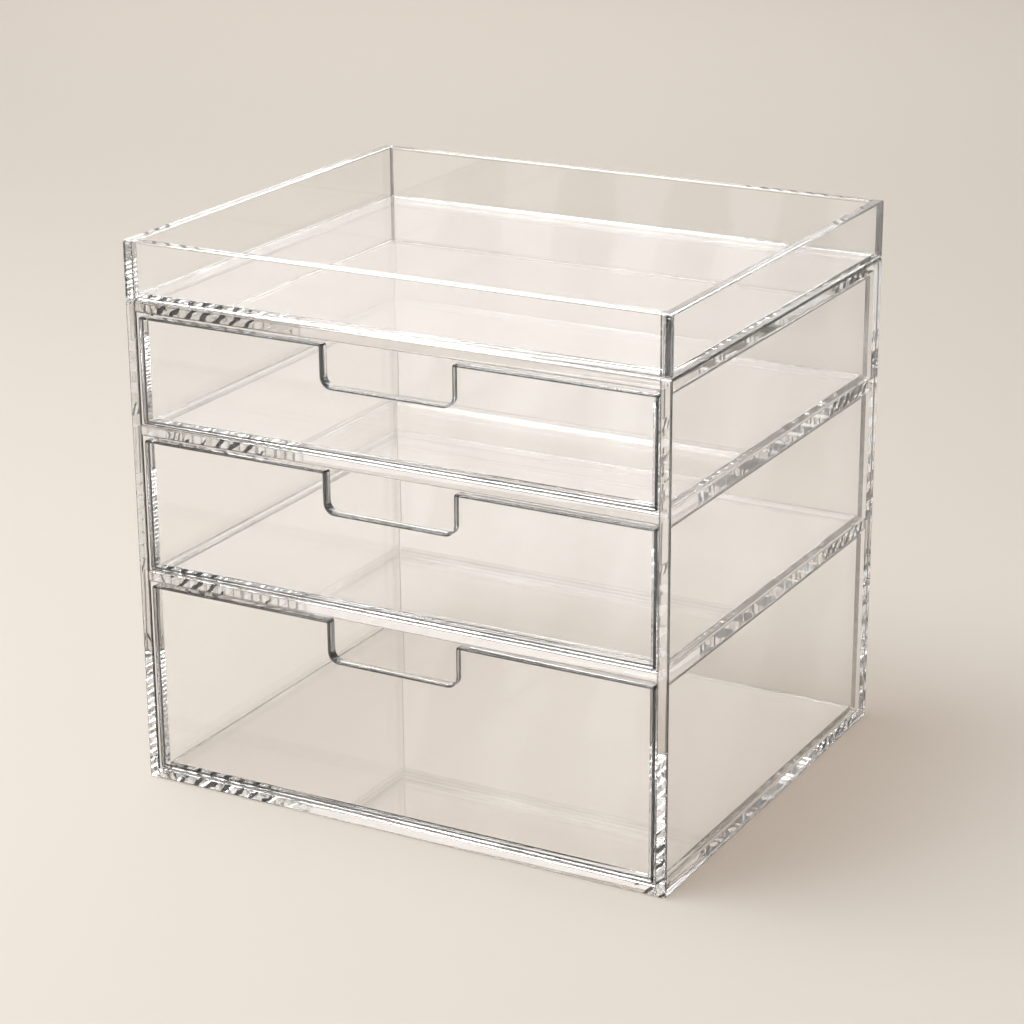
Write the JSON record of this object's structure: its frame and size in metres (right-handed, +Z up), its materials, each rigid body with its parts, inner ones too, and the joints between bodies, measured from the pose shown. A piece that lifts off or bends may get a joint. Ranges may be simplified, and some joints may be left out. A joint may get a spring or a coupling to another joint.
{
  "type": "acrylic drawer organizer",
  "caption": "Clear acrylic make-up organizer: a box of stacked drawers with finger-notched fronts under a loose open tray.",
  "frame": {"origin": "centre of the underside", "axes": "+Z up, +X to the right of someone facing the drawers, -Y towards that person, the way the drawers open"},
  "size_m": [0.3, 0.25, 0.2883],
  "materials": {
    "housing_acrylic": "clear polished acrylic",
    "tray_acrylic": "clear polished acrylic",
    "drawer_acrylic": "clear polished acrylic"
  },
  "bodies": {
    "housing": {"left_side_panel": "housing_acrylic", "right_side_panel": "housing_acrylic", "back_panel": "housing_acrylic", "base_panel": "housing_acrylic", "lower_shelf": "housing_acrylic", "upper_shelf": "housing_acrylic", "top_panel": "housing_acrylic"},
    "tray": {"tray_left_wall": "tray_acrylic", "tray_right_wall": "tray_acrylic", "tray_front_wall": "tray_acrylic", "tray_back_wall": "tray_acrylic", "tray_floor": "tray_acrylic"},
    "bottom_drawer": {"bottom_drawer_front": "drawer_acrylic", "bottom_drawer_left_wall": "drawer_acrylic", "bottom_drawer_right_wall": "drawer_acrylic", "bottom_drawer_back": "drawer_acrylic", "bottom_drawer_floor": "drawer_acrylic"},
    "middle_drawer": {"middle_drawer_front": "drawer_acrylic", "middle_drawer_left_wall": "drawer_acrylic", "middle_drawer_right_wall": "drawer_acrylic", "middle_drawer_back": "drawer_acrylic", "middle_drawer_floor": "drawer_acrylic"},
    "top_drawer": {"top_drawer_front": "drawer_acrylic", "top_drawer_left_wall": "drawer_acrylic", "top_drawer_right_wall": "drawer_acrylic", "top_drawer_back": "drawer_acrylic", "top_drawer_floor": "drawer_acrylic"}
  },
  "joints": [
    {"name": "bottom_drawer_slide", "type": "slide", "parent": "housing", "child": "bottom_drawer", "axis": [0, -1, 0], "range_m": [0, 0.2]},
    {"name": "middle_drawer_slide", "type": "slide", "parent": "housing", "child": "middle_drawer", "axis": [0, -1, 0], "range_m": [0, 0.2]},
    {"name": "top_drawer_slide", "type": "slide", "parent": "housing", "child": "top_drawer", "axis": [0, -1, 0], "range_m": [0, 0.2]},
    {"name": "tray_lift", "type": "slide", "parent": "housing", "child": "tray", "axis": [0, 0, 1], "range_m": [0, 0.1]}
  ]
}
